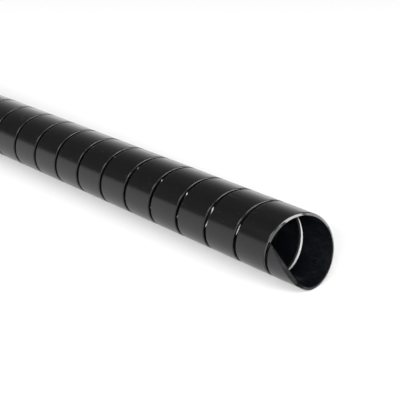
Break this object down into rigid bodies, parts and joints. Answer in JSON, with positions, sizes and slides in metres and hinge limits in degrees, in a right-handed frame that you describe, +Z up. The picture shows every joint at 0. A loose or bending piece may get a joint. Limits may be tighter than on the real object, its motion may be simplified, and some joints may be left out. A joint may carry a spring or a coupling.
{
  "type": "spiral cable wrap",
  "caption": "Rigid black plastic tube slit along a left-hand helix into one strip, which winds round cables or hoses to bundle and protect them.",
  "frame": {"origin": "under the middle of the tube's length, on the surface that the wrap rests on", "axes": "+X along the tube towards the slanting cut end, +Z up from the surface it rests on, +Y to the side away from the tip of that cut"},
  "size_m": [1, 0.032, 0.032],
  "materials": {
    "black_polyethylene": "smooth glossy extruded polyethylene, dulled slightly by fine lengthways extrusion lines"
  },
  "bodies": {
    "root": {"spiral_strip": "black_polyethylene"}
  },
  "joints": []
}
